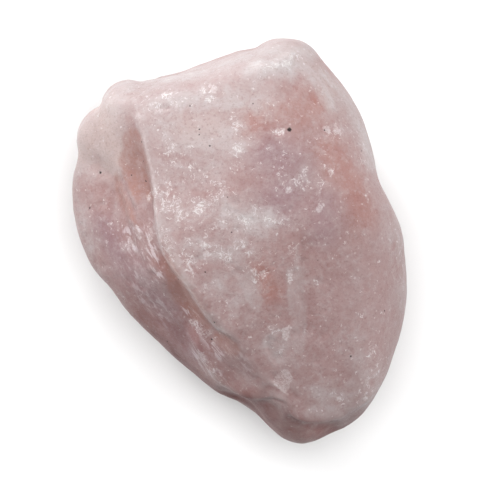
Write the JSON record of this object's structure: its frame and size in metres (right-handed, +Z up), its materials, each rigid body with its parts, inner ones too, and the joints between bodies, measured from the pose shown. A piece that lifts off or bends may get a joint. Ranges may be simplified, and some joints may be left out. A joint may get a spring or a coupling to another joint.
{
  "type": "nugget bead",
  "caption": "Tumbled pink stone nugget with a broad smooth face, a stepped groove down one side and a fine hole drilled lengthwise.",
  "frame": {"origin": "centre of the bounding box's footprint, on the flat that the stone rests on", "axes": "+Z up out of the broad face, shortest; +Y along the stone's longest box side, from the narrow end to the broad end; +X towards the smooth side, away from the groove"},
  "size_m": [0.0239, 0.0289, 0.0165],
  "materials": {
    "pink_opal": "tumbled to a soft satin sheen, milky and slightly translucent, with fine white bruises"
  },
  "bodies": {
    "root": {"nugget": "pink_opal"}
  },
  "joints": []
}
